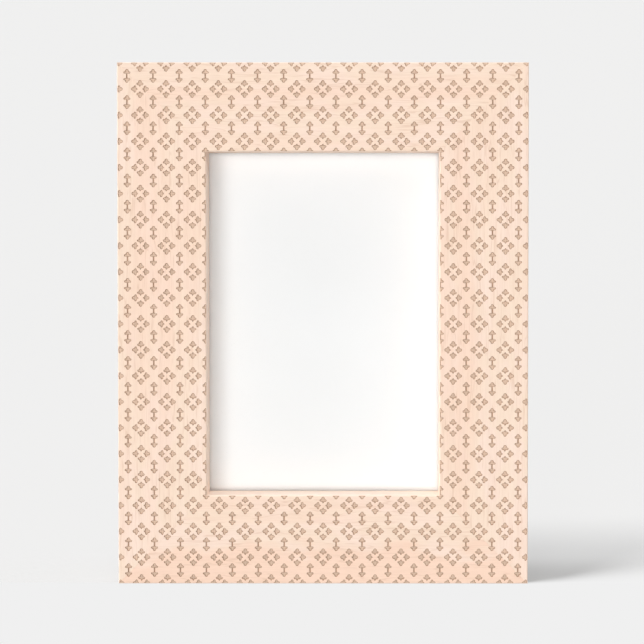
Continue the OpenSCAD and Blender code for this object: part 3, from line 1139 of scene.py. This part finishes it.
class BackingBoard(bpy.types.Operator):
    """Adds the hardboard back"""

    bl_idname = "frame_maker.backing"
    bl_label = "Backing board"

    def execute(self, context):
        eased_piece("backing_board", "hardboard_back", 0.3 * MM, "pressed_board")
        return {"FINISHED"}


class EaselStrut(bpy.types.Operator):
    """Adds the hardboard strut"""

    bl_idname = "frame_maker.strut"
    bl_label = "Easel strut"

    def execute(self, context):
        eased_piece("easel_strut", "hardboard_strut", 0.35 * MM, "pressed_board")
        return {"FINISHED"}


class StrutHinge(bpy.types.Operator):
    """Adds both hinge leaves, the pin and the rivets"""

    bl_idname = "frame_maker.hinge"
    bl_label = "Strut hinge"

    def execute(self, context):
        for end in ("backing", "strut"):
            eased_piece(f"hinge_leaf_{end}", f"leaf_on_{end}", 0.12 * MM, "brass_plate")
        eased_piece("hinge_pin", "pin_of_hinge", 0.2 * MM, "zinc_plate")
        for end in ("backing", "strut"):
            name = f"rivets_of_{end}"
            eased_piece(f"hinge_rivets_{end}", name, 0.06 * MM, "brass_plate")
        return {"FINISHED"}


class TurnButtons(bpy.types.Operator):
    """Adds the four turn buttons that hold the back in"""

    bl_idname = "frame_maker.buttons"
    bl_label = "Turn buttons"

    def execute(self, context):
        for corner in ("left_lower", "left_upper", "right_lower", "right_upper"):
            name = "turn_button_" + corner
            eased_piece(name, name + "_plate", 0.18 * MM, "zinc_plate")
        return {"FINISHED"}


class ButtonScrews(bpy.types.Operator):
    """Adds the screws of the turn buttons"""

    bl_idname = "frame_maker.screws"
    bl_label = "Button screws"

    def execute(self, context):
        eased_piece("turn_button_screws", "cross_head_screws", 0.08 * MM, "zinc_plate")
        return {"FINISHED"}


class WallHangers(bpy.types.Operator):
    """Adds both sawtooth hangers and their nails"""

    bl_idname = "frame_maker.hangers"
    bl_label = "Wall hangers"

    def execute(self, context):
        for end in ("top", "side"):
            eased_piece(f"sawtooth_hanger_{end}", f"hanger_{end}", 0.12 * MM, "zinc_plate")
        eased_piece("hanger_nails", "nails_of_hangers", 0.08 * MM, "zinc_plate")
        return {"FINISHED"}


class CornerNails(bpy.types.Operator):
    """Adds the corner nails driven in across the mitres"""

    bl_idname = "frame_maker.corner_nails"
    bl_label = "Corner nails"

    def execute(self, context):
        eased_piece("corner_v_nails", "mitre_nails", 0.05 * MM, "zinc_plate")
        return {"FINISHED"}


# Each lamp's name, its setting, its spread in degrees, where it stands, and if metal mirrors it
LAMPS = (
    ("key_front", "key", 34, (-0.48, -0.858, 0.182), False),
    ("fill_front", "fill", 15, (0.05, -0.98, 0.19), False),
    ("left_graze", "left", 14, (-0.95, -0.06, 0.294), True),
    ("top_graze", "top", 12, (0.0, 0.087, 0.996), True),
    ("right_graze", "right", 14, (0.95, -0.065, 0.271), True),
    ("rear_light", "rear", 60, (0.35, 0.91, 0.20), True),
)
SHADOW_TOWARD, SHADOW_WIDE = (-0.339, 0.048, 0.94), 11
CONTACT_TOWARD, CONTACT_WIDE = (-0.1, 0.1, 0.99), 100
TABLE_REACH = 60.0


def sun(name, strength, spread, toward, mirrored=False):
    """A sun lamp that shines from a direction, with its strength as a share of white.

    One that isn't mirrored keeps its disc out of the gloss of glass and metal.
    """
    lamp = bpy.data.lights.new(name, "SUN")
    lamp.energy = strength * math.pi
    lamp.angle = math.radians(spread)
    made = new_object(name, lamp)
    made.rotation_euler = Vector(toward).to_track_quat("Z", "Y").to_euler()
    made.visible_glossy = mirrored
    made.visible_transmission = False
    return made


def light_only(lamp, receiver):
    """Lets a lamp light one object alone. Every other object still casts its shadow."""
    lit = bpy.data.collections.new(lamp.name + "_lights")
    lit.objects.link(receiver)
    lamp.light_linking.receiver_collection = lit


def make_world(studio):
    """Even room light, which the camera, metal and glass see as the pale backdrop."""
    world = bpy.data.worlds.new("studio_room")
    world.use_nodes = True
    tree = world.node_tree
    tree.nodes.clear()
    even = (studio.ambient, studio.ambient, studio.ambient)
    tone = blend_colours(tree, seen_ray(tree), even, studio.backdrop)
    background = node(tree, "ShaderNodeBackground", {"Color": tone, "Strength": 1.0})
    node(tree, "ShaderNodeOutputWorld", {"Surface": background.outputs[0]})
    bpy.context.scene.world = world


# The picture's side in pixels, the sensor's in millimetres, and the lens shift as shares of it
IMAGE_SIDE = 644
SENSOR_SIDE = 36.0
LENS_SHIFT = Vector((-0.076, -0.1))


def place_camera(studio):
    """Stands the camera almost square to the frame's face, right of and above its middle.

    The lens shift brings the frame back to the middle of the picture.
    """
    place = FACE_MIDDLE + Vector((studio.camera_right, -studio.distance, studio.camera_up))
    shown_shift = -LENS_SHIFT * IMAGE_SIDE / studio.pixels_per_mm * MM
    moved = Vector((-studio.frame_right, 0, studio.frame_down))
    aim = FACE_MIDDLE + Vector((shown_shift.x, 0, shown_shift.y)) + moved
    toward = (LEANING.to_3x3() @ (aim - place)).normalized()
    data = bpy.data.cameras.new("product_camera")
    data.sensor_width = SENSOR_SIDE
    data.lens = studio.pixels_per_mm * studio.distance / MM / IMAGE_SIDE * SENSOR_SIDE
    data.shift_x, data.shift_y = LENS_SHIFT
    data.clip_start = 10 * MM
    data.clip_end = 200.0
    camera = new_object("product_camera", data)
    camera.location = LEANING @ place
    camera.rotation_euler = toward.to_track_quat("-Z", "Y").to_euler()
    bpy.context.scene.camera = camera


def add_table():
    """Adds a wide table top for the frame to stand on."""
    shell = bmesh.new()
    bmesh.ops.create_grid(shell, x_segments=1, y_segments=1, size=TABLE_REACH)
    table = object_from(shell, "studio_table")
    single_finish(table, "table_top")
    return table


class Stage(bpy.types.Operator):
    """Adds the table, the room light, the lamps and the camera"""

    bl_idname = "frame_maker.stage"
    bl_label = "Studio stage"

    def execute(self, context):
        studio = settings("frame_studio")
        make_world(studio)
        table = add_table()
        for name, setting, spread, toward, mirrored in LAMPS:
            sun(name, getattr(studio, setting), spread, toward, mirrored)
        across = studio.shadow / TABLE_MATT / SHADOW_TOWARD[2]
        light_only(sun("table_shadow", across, SHADOW_WIDE, SHADOW_TOWARD), table)
        round_foot = studio.contact / TABLE_MATT
        light_only(sun("table_contact", round_foot, CONTACT_WIDE, CONTACT_TOWARD), table)
        place_camera(studio)
        return {"FINISHED"}


class FramePanel(bpy.types.Panel):
    """Lists the pieces of the frame"""

    bl_idname = "VIEW3D_PT_frame_maker"
    bl_label = "Engraved Picture Frame"
    bl_space_type = "VIEW_3D"
    bl_region_type = "UI"
    bl_category = "Picture Frame"

    def draw(self, context):
        for name, group in GROUPS.items():
            box = self.layout.box()
            box.label(text=name.split("_")[1].capitalize())
            for field in group.__annotations__:
                box.prop(settings(name), field)
        for operator in OPERATORS:
            self.layout.operator(operator.bl_idname)


OPERATORS = (
    Stage,
    CarvedMembers,
    Glazing,
    PictureSheet,
    FillerBoard,
    BackingBoard,
    EaselStrut,
    StrutHinge,
    TurnButtons,
    ButtonScrews,
    WallHangers,
    CornerNails,
)
GROUPS = {
    "frame_carving": FrameCarving,
    "frame_finish": FrameFinish,
    "frame_studio": FrameStudio,
}


def register():
    """Registers the groups, the operators and the panel."""
    for name, group in GROUPS.items():
        bpy.utils.register_class(group)
        setattr(bpy.types.Scene, name, PointerProperty(type=group))
    for item in (*OPERATORS, FramePanel):
        bpy.utils.register_class(item)


def unregister():
    """Takes them away again."""
    for item in reversed((*OPERATORS, FramePanel)):
        bpy.utils.unregister_class(item)
    for name, group in GROUPS.items():
        delattr(bpy.types.Scene, name)
        bpy.utils.unregister_class(group)


def main():
    """Builds the frame."""
    register()
    bpy.context.scene.view_settings.view_transform = "Standard"
    for operator in OPERATORS:
        group, name = operator.bl_idname.split(".")
        getattr(getattr(bpy.ops, group), name)()


if __name__ == "__main__":
    main()
